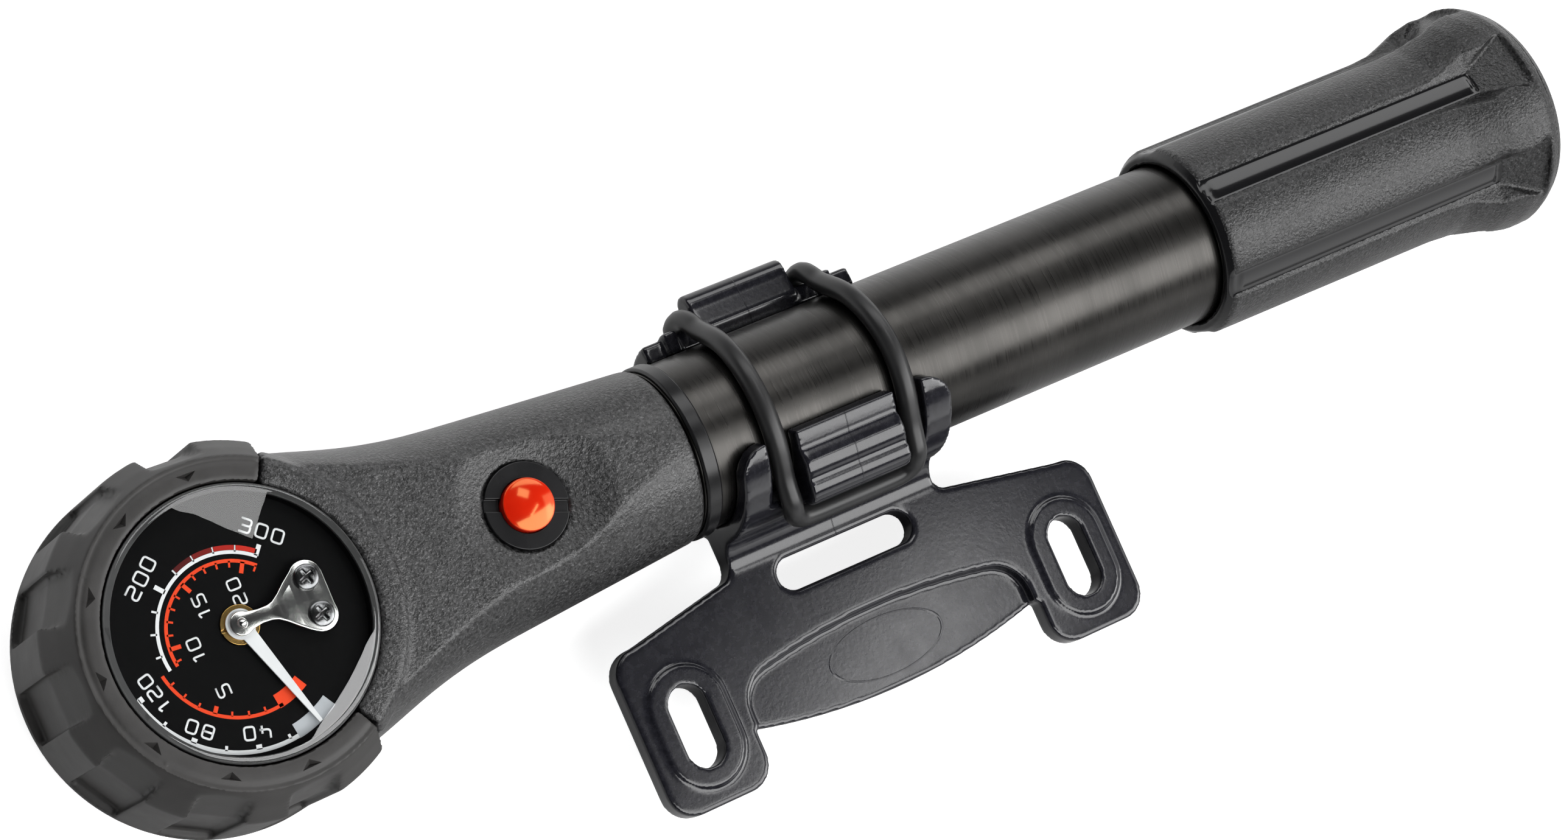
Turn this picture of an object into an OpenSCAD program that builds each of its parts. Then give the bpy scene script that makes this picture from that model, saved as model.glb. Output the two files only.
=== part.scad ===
// Mini pump with a dial gauge, held in a frame bracket by a rubber band.
// Millimetres. X runs along the pump towards the handle. Z points up, out of the dial.
// The origin is on the pump's axis, in the mouth of the valve port.

/* [Head] */
// Distance from the mouth of the valve port to the centre of the dial
dial_x = 21; // [20:0.5:23]
// Radius of the round head
head_r = 23; // [22.5:0.1:24]
// Height of the head above the pump's axis
head_top = 12.4; // [12.2:0.1:13]
// Depth of the head below the pump's axis
head_bottom = 12; // [11:0.5:13]
// Outer radius of the smooth band around the glass
bezel_r = 21.4; // [21:0.1:22]
// Where the body ends and the barrel begins
body_end_x = 87.5; // [86:0.5:92]
// Step from the barrel out to the body and its collar
neck_step = 0.6; // [0.5:0.1:1]

/* [Valve cover] */
// Angle that the rubber cover reaches to each side of the head's front
cover_reach = 120; // [110:1:125]
// Radius of the cover between its ribs
cover_r = 23.4; // [23:0.1:24]
// Radius of the cover over its ribs
cover_rib_r = 24.8; // [24:0.1:25.5]
// Thickness of the cover's flat rim around the glass
cover_rim = 2.4; // [2:0.1:3]
// Gap between the cover and the casing
cover_gap = 0.2; // [0.15:0.05:0.3]

/* [Gauge] */
// Radius of the gauge glass
glass_r = 18; // [17:0.1:18]
// Height of the gauge cup's underside above the pump's axis
cup_floor_z = 6; // [6:0.1:6.5]
// Height of the dial's printed face
dial_z = 10; // [9.8:0.1:10.2]
// Length of the needle from its pivot to its tip
needle_len = 15.9; // [12:0.1:16.2]
// Direction of the needle at zero pressure, from +X towards +Y
needle_zero = -73; // [-80:1:-60]

/* [Bleed button] */
// Distance from the valve port to the centre of the button
button_x = 62.7; // [60:0.5:66]
// Radius of the pressed cap
button_r = 3.6; // [3:0.1:4]
// Outer radius of the button's black ring
button_ring_r = 5.9; // [5.5:0.1:6.5]
// Height of the body's surface around the button
button_z = 11.2; // [11:0.1:11.6]

/* [Barrel] */
// Outer radius of the barrel
barrel_r = 12; // [12:0.1:12.2]
// Wall thickness of the barrel
barrel_wall = 2; // [1.5:0.1:2.5]
// Bore radius of the inner cylinder
cylinder_r = 6; // [5.5:0.1:6.5]
// Radius of the piston rod
rod_r = 4.5; // [4.3:0.1:4.6]

/* [Handle] */
// Mouth of the closed handle
handle_x = 177.3; // [175:0.1:180]
// Far face of the closed handle's end cap
handle_end_x = 239.6; // [238:0.1:242]
// Radius of the handle's straight grip
grip_r = 14.4; // [14:0.1:15]
// Radius of the handle's flared end
flare_r = 17.5; // [16.5:0.1:18]
// Number of channels along the handle
channel_count = 6; // [4:1:8]
// Width of one channel at its floor
channel_w = 3.9; // [3:0.1:5]
// Distance from the axis to a channel's flat floor
channel_floor = 13.8; // [13.4:0.05:14]
// Direction of the first channel around the axis
channel_turn = 12.5; // [0:0.5:59.5]

/* [Bracket] */
// Centre of the bracket's pair of slots along the pump
bracket_x = 110.5; // [108:0.5:125]
// Distance between the two slots, as on a bottle cage
slot_spacing = 64; // [62:0.5:66]
// Distance of the slots' centres from the pump's axis
slot_y = 35.6; // [34:0.1:38]
// Width of a slot
slot_w = 5.7; // [5.2:0.1:6]
// Length of a slot from end to end
slot_len = 11.8; // [10:0.1:12.5]
// Height of the plate's top face over the pump's axis
plate_top_z = -3.6; // [-4:0.1:-3]
// Thickness of the plate
plate_t = 3.4; // [3:0.1:4]
// Length of the clip along the barrel
clip_len = 34; // [30:0.5:35]
// Wall thickness of the clip
clip_t = 2.7; // [2.4:0.1:3]
// Radius of the rubber band's cord
band_r = 1.5; // [1.2:0.1:1.6]

/* [Hidden] */
$fn = 96;

plastic_black = "#2b2b2d";
gloss_black = "#17171a";
rubber_grey = "#3c3c3e";
alloy_dark = "#3a3835";
alloy_clear = "#c9cbce";
brass = "#b8923f";
signal_red = "#e0452a";

e = 0.01;                             // overlap of cutters
bore_r = barrel_r - barrel_wall;      // inside of the barrel
neck_r = barrel_r + neck_step;        // body where it meets the barrel
cylinder_out_r = cylinder_r + 1.5;    // outside of the inner cylinder
cup_wall = 0.7;
cup_top_z = 11.4;                     // rim of the gauge cup
ledge_r = glass_r - 1.4;              // ledge that carries the dial
dial_t = 0.4;
coil_z = 8;                           // centre line of the pressure coil
coil_tube_r = 0.6;
coil_pitch = 3.2;
coil_half_turns = 7;
coil_first_r = 1.9;
stem_top_z = 7.3;                     // top of the stem that feeds the coil
coil_outer_r = coil_first_r + (coil_half_turns - 1) * coil_pitch / 2;
needle_z = dial_z + 0.5;
needle_t = 0.25;
bridge_z = dial_z + 1;
bridge_t = 0.4;
glass_z = 12;                         // underside of the glass
glass_rise = 1.6;                     // thickness of the glass at its centre
glass_dome_r = 150;
screw_at = [[10.1, 2.35], [10.1, -2.75]];   // bridge screws from the pivot
port_len = 9;
port_bore_r = 4;
port_mouth_len = 4.6;                 // bore in front of the gasket
port_seat_r = port_bore_r + 0.5;      // wider seat that keeps the gasket in
port_bore_len = 7;
stem_r = 4.5;                         // slim front part of the manifold
cavity_r = 11.8;                      // hollow of the head, under the gauge
cavity_floor_z = -9.4;
dish_r = 42;                          // dish around the bleed button
ring_top_z = button_z + 0.4;
ring_seat_z = button_z - 0.9;
sleeve_r = 4.8;                       // sleeve of the button's ring
flange_z = 9.6;                       // top of the flange that keeps the button in
flange_r = 4.15;
flange_t = 0.7;
button_top_z = button_z + 1.9;
notch_turn = -21;                     // direction of the ring's two notches
block_x0 = button_x - 5.7;
block_x1 = button_x + 5.8;
block_r = 6.2;
bleed_pocket_z = 4.6;                 // seat of the bleed valve's spring
neck_bore_r = 8.8;
neck_bore_x = body_end_x - 13.5;
cylinder_x0 = body_end_x + 5;
spigot_x1 = cylinder_x0 + 5;          // inner end of the manifold
check_chamber_x = body_end_x + 1.5;   // chamber of the check valve
check_x = spigot_x1 - 1.2;            // seat of its ball
seal_x = cylinder_x0 + 2.5;           // seal between manifold and cylinder
seal_groove_r = cylinder_r - 1;
web_x1 = handle_end_x - 7.6;          // web that ties the grip to the rod
web_x0 = web_x1 - 2.8;
plug_r = 14.6;                        // bore of the grip that the cap plugs
cap_seam_x = handle_end_x - 3;
barrel_end_x = web_x0 - 3.2;
cylinder_x1 = barrel_end_x - 5.5;
bush_x0 = barrel_end_x - 8;
bush_x1 = barrel_end_x + 1.4;
piston_x0 = spigot_x1 + 1;            // the stroke ends 2.5 short of the bush
piston_x1 = piston_x0 + 9;
groove_x0 = piston_x0 + 3;
groove_x1 = piston_x0 + 6;
groove_r = 4.4;
rod_x0 = piston_x1 - 2.9;             // end of the rod inside the piston
plate_bottom_z = plate_top_z - plate_t;
clip_x = bracket_x - 1;
clip_r0 = barrel_r + 0.05;
clip_r1 = clip_r0 + clip_t;
near_end = 109;                       // clip's near edge, from +Y towards +Z
far_end = -4;                         // clip's far edge
lug_len = 16;
near_nose = [-12.1, 9.3];             // hook of the near lug, in Y and Z
far_nose = [17.4, -2.9];
near_nose_r = 2.6;
far_nose_r = 2;
notch_w = 4.6;                        // notches beside the near lug
notch_end = 150;
wing_r = 4;

// ---- helpers -------------------------------------------------------------

// A profile of [x, r] points turned about the pump's axis
module turned(points) rotate([90, 0, 90]) rotate_extrude() polygon([for (p = points) [p[1], p[0]]]);

// A cylinder on the pump's axis, or parallel to it at [y, z]
module rod_x(x0, x1, r, at = [0, 0]) translate([x0, at[0], at[1]]) rotate([0, 90, 0]) cylinder(h = x1 - x0, r = r);

// A tube on the pump's axis
module tube_x(x0, x1, outer, inner)
    difference() {
        rod_x(x0, x1, outer);
        rod_x(x0 - e, x1 + e, inner);
    }

// A cylinder that stands at [x, y]
module post(x, y, z0, z1, r) translate([x, y, z0]) cylinder(h = z1 - z0, r = r);

// A ring that stands at [x, y]
module ring_z(x, y, z0, z1, outer, inner)
    difference() {
        post(x, y, z0, z1, outer);
        post(x, y, z0 - e, z1 + e, inner);
    }

// A stadium along Y
module stadium(width, length)
    union() {
        square([width, length - width], center = true);
        for (side = [-1, 1])
            translate([0, side * (length - width) / 2])
                circle(d = width);
    }

// A rectangle from corner a to corner b with rounded corners
module round_rect(a, b, r)
    union() {
        translate(a + [r, 0]) square([b[0] - a[0] - 2 * r, b[1] - a[1]]);
        translate(a + [0, r]) square([b[0] - a[0], b[1] - a[1] - 2 * r]);
        for (x = [a[0] + r, b[0] - r], y = [a[1] + r, b[1] - r])
            translate([x, y]) circle(r);
    }

// The corner between two walls, filled by a fillet; it fills the quarter at +X +Y
module fillet2d(r)
    difference() {
        translate([-e, -e]) square(r + e);
        translate([r, r]) circle(r);
    }

// A coil of round wire along Z
module wire_coil(r, wire_r, height, turns)
    linear_extrude(height = height, twist = -360 * turns, slices = turns * 20, $fn = 8)
        translate([r, 0]) circle(r = wire_r, $fn = 8);

// One point of a cubic curve through four control points
function bezier(c, t) =
    pow(1 - t, 3) * c[0] + 3 * t * pow(1 - t, 2) * c[1] + 3 * t * t * (1 - t) * c[2] + pow(t, 3) * c[3];

// A sector around the dial's axis, between two angles from +X
module sector(from, to, r, z0, z1)
    translate([dial_x, 0, z0])
        linear_extrude(z1 - z0)
            polygon([[0, 0], for (i = [0:8]) let (a = from + (to - from) * i / 8) r * [cos(a), sin(a)]]);

// ---- head ----------------------------------------------------------------

neck_curve = [[31, 21], [39, 19.5], [44, 16.2], [58, 15]];

// Solid outside of the head and neck
module casing_outside() {
    translate([dial_x, 0, 0])
        rotate_extrude()
            polygon([[0, -head_bottom], [head_r - 1.2, -head_bottom], [head_r, 1.4 - head_bottom],
                     [head_r, head_top - 3.2], [bezel_r + 0.5, head_top - 0.9], [bezel_r, head_top],
                     [0, head_top]]);
    intersection() {
        turned([[dial_x, 0], [dial_x, 21], for (i = [0:10]) bezier(neck_curve, i / 10),
                [body_end_x - 0.6, neck_r], [body_end_x, neck_r - 0.5], [body_end_x, 0]]);
        rotate([90, 0, 0])
            linear_extrude(60, center = true)
                polygon([[dial_x - 1, -head_bottom], [48, -head_bottom], [78, -neck_r - 0.2], [95, -neck_r - 0.2],
                         [95, neck_r + 0.2], [78, neck_r + 0.2], [48, head_top - 0.7], [dial_x - 1, head_top - 0.7]]);
    }
}

// Space that the rubber cover takes, grown by a gap
module cover_space(gap) {
    seam = 180 - cover_reach;
    intersection() {
        translate([dial_x, 0, 0])
            rotate_extrude()
                polygon([[21.2 - gap, -head_bottom - 1], [30, -head_bottom - 1], [30, head_top + 1],
                         [glass_r + 0.25 - gap, head_top + 1], [glass_r + 0.25 - gap, head_top - cover_rim - gap],
                         [21.2 - gap, head_top - cover_rim - gap]]);
        sector(seam - gap / 0.4, 360 - seam + gap / 0.4, 60, -20, 20);
    }
}

module head_casing() color(plastic_black)
    difference() {
        casing_outside();
        cover_space(cover_gap);
        post(dial_x, 0, cup_floor_z, 20, glass_r + 0.05);
        rod_x(-5, port_len, 5.5);
        rod_x(port_len - e, block_x0, stem_r);
        rod_x(block_x0 - e, block_x1, block_r);
        rod_x(block_x1 - e, neck_bore_x, stem_r);
        rod_x(neck_bore_x - e, 100, neck_bore_r);
        // cavity under the gauge, which the slim part of the manifold crosses
        post(dial_x, 0, cavity_floor_z, cup_floor_z + e, cavity_r);
        // dished seat of the bleed button
        translate([button_x, 0, button_z - 0.45 + dish_r]) sphere(dish_r);
        post(button_x, 0, 0, 20, sleeve_r);
        post(button_x, 0, ring_seat_z, 20, button_ring_r + 0.05);
    }

module manifold() color(alloy_clear)
    difference() {
        union() {
            // spigot that the port's sleeve is screwed on
            rod_x(port_bore_len + 0.6, port_len + e, port_seat_r - 0.02);
            rod_x(port_len, neck_bore_x + e, stem_r);
            rod_x(block_x0, block_x1, block_r);
            rod_x(neck_bore_x, body_end_x - 0.1, neck_bore_r);
            rod_x(body_end_x - 0.1 - e, cylinder_x0, bore_r - 0.02);
            rod_x(cylinder_x0 - e, spigot_x1, cylinder_r - 0.02);
        }
        rod_x(port_bore_len, spigot_x1 + e, 1.2);
        // chamber of the check valve
        rod_x(check_chamber_x, check_x, 2.6);
        // seal groove
        tube_x(seal_x - 1, seal_x + 1, cylinder_r + 1, seal_groove_r);
        // branches to the gauge and to the bleed valve
        post(dial_x, 0, 0, 10, 1.5);
        post(button_x, 0, 0, 10, 1.3);
        post(button_x, 0, bleed_pocket_z, 10, 2.9);
    }

module valve_port() color(alloy_clear)
    difference() {
        rod_x(0, port_len, 5.5);
        rod_x(-e, port_mouth_len + e, port_bore_r);
        rod_x(port_mouth_len, port_len + e, port_seat_r);
    }

module port_gasket() color(rubber_grey) tube_x(port_mouth_len, port_bore_len, port_seat_r - 0.02, 2.4);

module valve_pin() color(brass)
    difference() {
        union() {
            rod_x(port_bore_len, port_bore_len + 0.6, port_seat_r - 0.02);
            rod_x(port_mouth_len + 0.2, port_bore_len + e, 0.8);
        }
        for (a = [0:120:240])
            rod_x(6, 9, 0.7, 2.2 * [cos(a), sin(a)]);
    }

// Soft cover around the front of the head, with pockets between its ribs
module valve_cover() color(rubber_grey) {
    seam = 180 - cover_reach;
    pockets = 7;
    pocket_w = 7.2;
    // from the middle of the last pocket to the cover's end
    pocket_end = 28;
    pocket_floor = [[cover_r, 2.4 - head_bottom], [cover_rib_r + 2, 2.4 - head_bottom],
                    [cover_rib_r + 2, head_top + 1], [bezel_r + 0.5, head_top + 1],
                    [bezel_r + 0.5, head_top - 0.9], [cover_r - 0.7, head_top - 5], [cover_r, head_top - 9]];
    difference() {
        intersection() {
            translate([dial_x, 0, 0])
                rotate_extrude()
                    polygon([[21.2, -head_bottom], [cover_rib_r - 1, -head_bottom], [cover_rib_r, 1.2 - head_bottom],
                             [cover_rib_r, head_top - 6.4], [cover_r - 0.3, head_top - 3], [bezel_r, head_top],
                             [glass_r + 0.25, head_top], [glass_r + 0.25, head_top - cover_rim],
                             [21.2, head_top - cover_rim]]);
            sector(seam + 0.2, 360 - seam - 0.2, 60, -20, 20);
        }
        // flat inside, clear of the port's mouth
        translate([-cover_gap - 0.6, -6.5, -head_bottom - 1]) cube([5, 13, head_bottom + 8]);
        for (i = [0:pockets - 1])
            let (a = 180 + (2 * i / (pockets - 1) - 1) * (cover_reach - pocket_end))
                translate([dial_x, 0, 0])
                    rotate([90, 0, a])
                        translate([0, 0, -pocket_w / 2])
                            linear_extrude(pocket_w) polygon(pocket_floor);
    }
}

// ---- gauge ---------------------------------------------------------------

module gauge_cup() color(alloy_dark)
    translate([dial_x, 0, 0])
        rotate_extrude()
            polygon([[2.5, cup_floor_z], [glass_r, cup_floor_z], [glass_r, cup_top_z], [ledge_r + 0.7, cup_top_z],
                     [ledge_r + 0.7, dial_z - dial_t], [ledge_r, dial_z - dial_t],
                     [ledge_r, cup_floor_z + cup_wall], [2.5, cup_floor_z + cup_wall]]);

module gauge_stem() color(brass)
    difference() {
        union() {
            post(dial_x, 0, stem_r - 0.3, stem_top_z, 2.5);
            // hollow arm that feeds the outer end of the coil
            translate([dial_x - coil_outer_r, -0.8, cup_floor_z + cup_wall]) cube([coil_outer_r, 1.6, 0.6]);
            post(dial_x - coil_outer_r, 0, cup_floor_z + cup_wall, coil_z - coil_tube_r, 1);
        }
        post(dial_x, 0, 3, stem_top_z - 0.4, 0.8);
        // the rounded top of the manifold
        rod_x(10, 40, stem_r + 0.02);
    }

// Flat spiral of tube: half turns about two centres in turn
module bourdon_coil() color(brass)
    for (i = [0:coil_half_turns - 1])
        translate([dial_x + (i % 2 == 0 ? 0 : coil_pitch / 2), 0, coil_z])
            rotate([0, 0, i % 2 == 0 ? 0 : 180])
                rotate_extrude(angle = 180)
                    translate([coil_first_r + i * coil_pitch / 2, 0]) circle(coil_tube_r, $fn = 24);

module dial_plate() color("#101012")
    difference() {
        ring_z(dial_x, 0, dial_z - dial_t, dial_z, ledge_r + 0.65, 2.65);
        for (s = screw_at)
            post(dial_x + s[0], s[1], 0, 20, 0.62);
    }

module dial_bush() color(brass)
    difference() {
        ring_z(dial_x, 0, dial_z - 1, dial_z + 0.35, 2.6, 0.6);
        translate([dial_x - 4, -0.2, dial_z + 0.05]) cube([4, 0.4, 1]);
    }

module needle_arbor() color(alloy_clear) post(dial_x, 0, stem_top_z + 0.05, bridge_z - 0.1, 0.5);

module needle() color("white") {
    hub_r = 2;
    ring_z(dial_x, 0, needle_z, needle_z + needle_t, hub_r, 0.5);
    translate([dial_x, 0, needle_z])
        rotate([0, 0, needle_zero])
            linear_extrude(needle_t)
                polygon([[hub_r - 0.6, 1], [needle_len, 0.25], [needle_len, -0.25], [hub_r - 0.6, -1]]);
}

module pivot_bridge() color(alloy_clear)
    translate([dial_x, 0, 0])
        difference() {
            union() {
                translate([0, 0, bridge_z])
                    linear_extrude(bridge_t)
                        union() {
                            circle(1.9);
                            polygon([[0, 1.7], [4.6, 1.3], [7.8, 2.6], [7.8, -3], [4.6, -1.7], [0, -1.7]]);
                            translate([10.1, -0.2]) square([4.6, 5.1], center = true);
                            for (s = screw_at)
                                translate(s) circle(2.3);
                        }
                // feet on the dial under the screws
                for (s = screw_at)
                    post(s[0], s[1], dial_z, bridge_z + e, 1.6);
                translate([0, 0, bridge_z + 0.1]) sphere(0.75);
            }
            for (s = screw_at)
                post(s[0], s[1], 0, 20, 0.6);
            post(0, 0, 0, bridge_z, 2);
        }

module bridge_screws() color(gloss_black)
    for (s = screw_at)
        translate([dial_x + s[0], s[1], 0])
            difference() {
                union() {
                    post(0, 0, dial_z - dial_t, bridge_z + bridge_t, 0.6);
                    post(0, 0, bridge_z + bridge_t, bridge_z + bridge_t + 0.5, 1.7);
                }
                for (a = [25, 115])
                    rotate([0, 0, a])
                        translate([-1, -0.2, bridge_z + bridge_t + 0.2]) cube([2, 0.4, 1]);
            }

module lens_gasket() color(gloss_black) ring_z(dial_x, 0, cup_top_z, glass_z, glass_r, glass_r - 1);

// Clear glass, flat below and slightly domed above
module lens() color("#dfe8ee", 0.35)
    translate([dial_x, 0, glass_z])
        rotate_extrude()
            polygon([[0, 0], [glass_r, 0],
                     for (r = [glass_r : -glass_r / 6 : 0]) [r, glass_rise - r * r / (2 * glass_dome_r)]]);

// ---- bleed valve ---------------------------------------------------------

module button_ring() color(gloss_black)
    difference() {
        union() {
            post(button_x, 0, ring_seat_z, ring_top_z, button_ring_r);
            post(button_x, 0, block_r, ring_seat_z + 0.1, sleeve_r);
        }
        post(button_x, 0, 0, 20, button_r + 0.1);
        // room for the button's flange
        post(button_x, 0, 0, flange_z + 0.1, flange_r + 0.1);
        // two notches for a pin spanner
        translate([button_x, 0, ring_top_z - 0.6])
            for (turn = [0, 180])
                rotate([0, 0, notch_turn + turn]) translate([button_r - 0.5, -0.85, 0]) cube([3, 1.7, 2]);
    }

// Cap with a flange that the ring keeps in, and the stem that opens the valve
module bleed_button() color(signal_red)
    translate([button_x, 0, 0])
        rotate_extrude()
            polygon([[0, 2.4], [1, 2.4], [1, flange_z - flange_t], [flange_r, flange_z - flange_t],
                     [flange_r, flange_z], [button_r, flange_z], [button_r, button_top_z - 0.4],
                     [button_r - 0.35, button_top_z], [0, button_top_z]]);

module bleed_spring() color(alloy_clear)
    translate([button_x, 0, bleed_pocket_z + 0.05])
        wire_coil(2.2, 0.22, flange_z - flange_t - bleed_pocket_z - 0.1, 5);

module bleed_seal() color(rubber_grey)
    translate([button_x, 0, 3.4])
        rotate_extrude() translate([1.15, 0]) circle(0.14, $fn = 24);

// ---- barrel --------------------------------------------------------------

// The ball sits on the edge of the hole to the cylinder
module check_ball() color(alloy_clear) translate([check_x - 1.62, 0, 0]) sphere(2);

// The coil at its shortest, clear of the lifted ball
module check_spring() color(alloy_clear)
    translate([check_chamber_x + 0.1, 0, 0])
        rotate([0, 90, 0]) wire_coil(1.7, 0.2, check_x - 3.85 - check_chamber_x - 0.1, 4);

module cylinder_seal() color(rubber_grey)
    translate([seal_x, 0, 0])
        rotate([0, 90, 0])
            rotate_extrude() translate([cylinder_r - 0.5, 0]) circle(0.48, $fn = 32);

module inner_cylinder() color(alloy_clear) tube_x(cylinder_x0, cylinder_x1, cylinder_out_r, cylinder_r);

module barrel() color(alloy_dark) tube_x(body_end_x + 0.2, barrel_end_x, barrel_r, bore_r);

module collar_ring() color(gloss_black)
    difference() {
        turned([[body_end_x + 0.4, 0], [body_end_x + 0.4, neck_r - 0.3], [body_end_x + 0.7, neck_r],
                [body_end_x + 2.5, neck_r], [body_end_x + 2.8, neck_r - 0.3], [body_end_x + 2.8, 0]]);
        rod_x(body_end_x, body_end_x + 4, barrel_r + 0.02);
    }

module barrel_bush() color(plastic_black)
    difference() {
        union() {
            rod_x(bush_x0, barrel_end_x, bore_r - 0.02);
            rod_x(barrel_end_x, bush_x1, barrel_r - 0.1);
        }
        rod_x(bush_x0 - e, cylinder_x1, cylinder_out_r + 0.02);
        rod_x(bush_x0, bush_x1 + e, rod_r + 0.05);
        rod_x(bush_x1 - 1.6, bush_x1 + e, rod_r + 1.5);
    }

module rod_wiper() color(rubber_grey) tube_x(bush_x1 - 1.6, bush_x1 - 0.1, rod_r + 1.48, rod_r + 0.05);

// ---- piston and handle ---------------------------------------------------

module piston_rod() color(alloy_clear)
    difference() {
        rod_x(rod_x0, web_x0, rod_r);
        rod_x(web_x0 - 9, web_x0 + e, 2.3);
    }

module piston() color(plastic_black)
    difference() {
        rod_x(piston_x0, piston_x1, cylinder_r - 0.1);
        tube_x(groove_x0, groove_x1 - 0.5, cylinder_r + 1, groove_r);
        rod_x(rod_x0 - 0.1, piston_x1 + e, rod_r + 0.05);
    }

module piston_seal() color(rubber_grey)
    turned([[groove_x0 + 0.05, groove_r], [groove_x0 + 0.05, cylinder_r - 0.03], [groove_x1 - 1, cylinder_r - 0.03],
            [groove_x1 - 0.55, cylinder_r - 0.5], [groove_x1 - 0.55, groove_r]]);

// One channel along the grip and the scallop at its end, on the +Y side
module grip_channel() {
    slope_x0 = handle_end_x - 12.3;
    slope_x1 = handle_end_x - 5;
    slope_rise = 2.75;
    // the walls lean outwards
    lean = 1.2;
    section = [[0, -channel_w / 2], [6, -channel_w / 2 - 6 * lean], [6, channel_w / 2 + 6 * lean], [0, channel_w / 2]];
    translate([handle_x - 1, channel_floor, 0])
        rotate([90, 0, 90])
            linear_extrude(slope_x0 + 0.5 - handle_x + 1) polygon(section);
    // the scallop widens as its floor climbs
    translate([slope_x0, channel_floor, 0])
        rotate([0, 0, atan2(slope_rise, slope_x1 - slope_x0)]) {
            rotate([-90, 0, 0])
                linear_extrude(8)
                    polygon([[-0.4, channel_w / 2], [8, channel_w / 2 + 3.2], [8, -channel_w / 2 - 3.2],
                             [-0.4, -channel_w / 2]]);
            translate([-0.4, 0, 0])
                rotate([90, 0, 90])
                    linear_extrude(8.4) polygon(section);
        }
}

module handle_grip() color(plastic_black)
    difference() {
        turned([[handle_x - 1.4, 0], [handle_x - 1.4, grip_r - 1.1], [handle_x, grip_r],
                [handle_end_x - 21.6, grip_r + 0.2], [handle_end_x - 17.6, grip_r + 0.5],
                [handle_end_x - 14.1, grip_r + 1.5], [handle_end_x - 11.1, flare_r - 0.6], [web_x1, flare_r],
                [cap_seam_x - 1.6, flare_r], [cap_seam_x, flare_r - 0.7], [cap_seam_x, 0]]);
        rod_x(handle_x - 5, web_x0, barrel_r + 0.3);
        rod_x(web_x0 - e, web_x1 + e, 2.6);
        rod_x(web_x1, handle_end_x, plug_r);
        for (i = [0:channel_count - 1])
            rotate([channel_turn + i * 360 / channel_count, 0, 0]) grip_channel();
    }

module bump_ring() color(rubber_grey) tube_x(bush_x1 + 0.3, web_x0, 9, rod_r + 0.02);

module rod_screw() color(alloy_clear)
    difference() {
        union() {
            rod_x(web_x0 - 8.5, web_x1 + e, 2.3);
            rod_x(web_x1, web_x1 + 2.6, 4.2);
        }
        rod_x(web_x1 + 1, web_x1 + 3, 1.9, $fn = 6);
    }

module handle_cap() color(plastic_black)
    difference() {
        turned([[web_x1 + 0.1, 0], [web_x1 + 0.1, plug_r - 0.02], [cap_seam_x, plug_r - 0.02],
                [cap_seam_x, flare_r - 0.75],
                [cap_seam_x + 1.2, flare_r - 1.5], [cap_seam_x + 2.3, flare_r - 3.2], [handle_end_x, flare_r - 6],
                [handle_end_x, 0]]);
        rod_x(web_x1, web_x1 + 3, 5);
    }

// ---- bracket -------------------------------------------------------------

ear_w = 16;
ear_end = 46.8;
boss_w = 11.2;
boss_len = 17;
long_slot = [-0.7, -21.8];
web_edge_r = 98;
recess_edge_r = 101;

// Outline of the plate, with X from the middle of the slots
module plate_outline() {
    arm = clip_len / 2;
    shift = clip_x - bracket_x;
    for (side = [-1, 1]) {
        edge = side * (slot_spacing + ear_w) / 2;
        inner = side * (slot_spacing - ear_w) / 2;
        round_rect([min(edge, inner), -ear_end], [max(edge, inner), -22.4], 4);
    }
    // web between the ears, with its bowed lower edge
    intersection() {
        translate([0, -42.2 + web_edge_r]) circle(web_edge_r, $fn = 360);
        translate([-(slot_spacing / 2), -44]) square([slot_spacing, 20]);
    }
    // shoulders that rise to the clip, with a fillet on each side of it
    polygon([[-35.5, -22.4], [-arm + shift, -19], [-arm + shift, -10], [arm + shift, -10],
             [arm + shift, -19], [35.5, -22.4], [30, -30], [-30, -30]]);
    translate([-arm + shift, -19.7]) mirror([1, 0]) fillet2d(2.8);
    translate([arm + shift, -19.7]) fillet2d(2.8);
}

// Thin part of the web, with X from the middle of the slots
module recess_outline() {
    side_x = (slot_spacing - ear_w) / 2 - 0.6;
    centre_y = -30.3 - recess_edge_r;
    // round corners, tangent to the bowed edge and to the sides
    corner_r = 5.5;
    corner_x = side_x - corner_r;
    corner_y = centre_y + sqrt(pow(recess_edge_r - corner_r, 2) - pow(corner_x, 2));
    tangent_x = corner_x * recess_edge_r / (recess_edge_r - corner_r);
    intersection() {
        translate([0, centre_y]) circle(recess_edge_r, $fn = 360);
        translate([-tangent_x, -60]) square([2 * tangent_x, 60]);
    }
    for (side = [-1, 1])
        translate([side * corner_x, corner_y]) circle(corner_r);
    translate([-side_x, -60]) square([2 * side_x, 60 + corner_y]);
}

module plate()
    translate([bracket_x, 0, 0])
        difference() {
            union() {
                translate([0, 0, plate_bottom_z]) linear_extrude(plate_t) plate_outline();
                for (side = [-1, 1])
                    translate([side * slot_spacing / 2, -slot_y, plate_top_z - 1])
                        linear_extrude(1.4) stadium(boss_w, boss_len);
            }
            for (side = [-1, 1])
                translate([side * slot_spacing / 2, -slot_y, plate_bottom_z - 1])
                    linear_extrude(plate_t + 3) stadium(slot_w, slot_len);
            translate([long_slot[0], long_slot[1], plate_bottom_z - 1])
                linear_extrude(plate_t + 3) rotate(90) stadium(4.7, 22.3);
            translate([0, 0, plate_top_z - 2]) linear_extrude(5) recess_outline();
        }

// Ring of the clip, open towards the upper far side
module clip_ring()
    rotate([90, 0, 90])
        translate([0, 0, clip_x - clip_len / 2])
            rotate([0, 0, near_end])
                rotate_extrude(angle = 360 + far_end - near_end)
                    translate([clip_r0 - 0.3, 0]) square([clip_t + 0.3, clip_len]);

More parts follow.
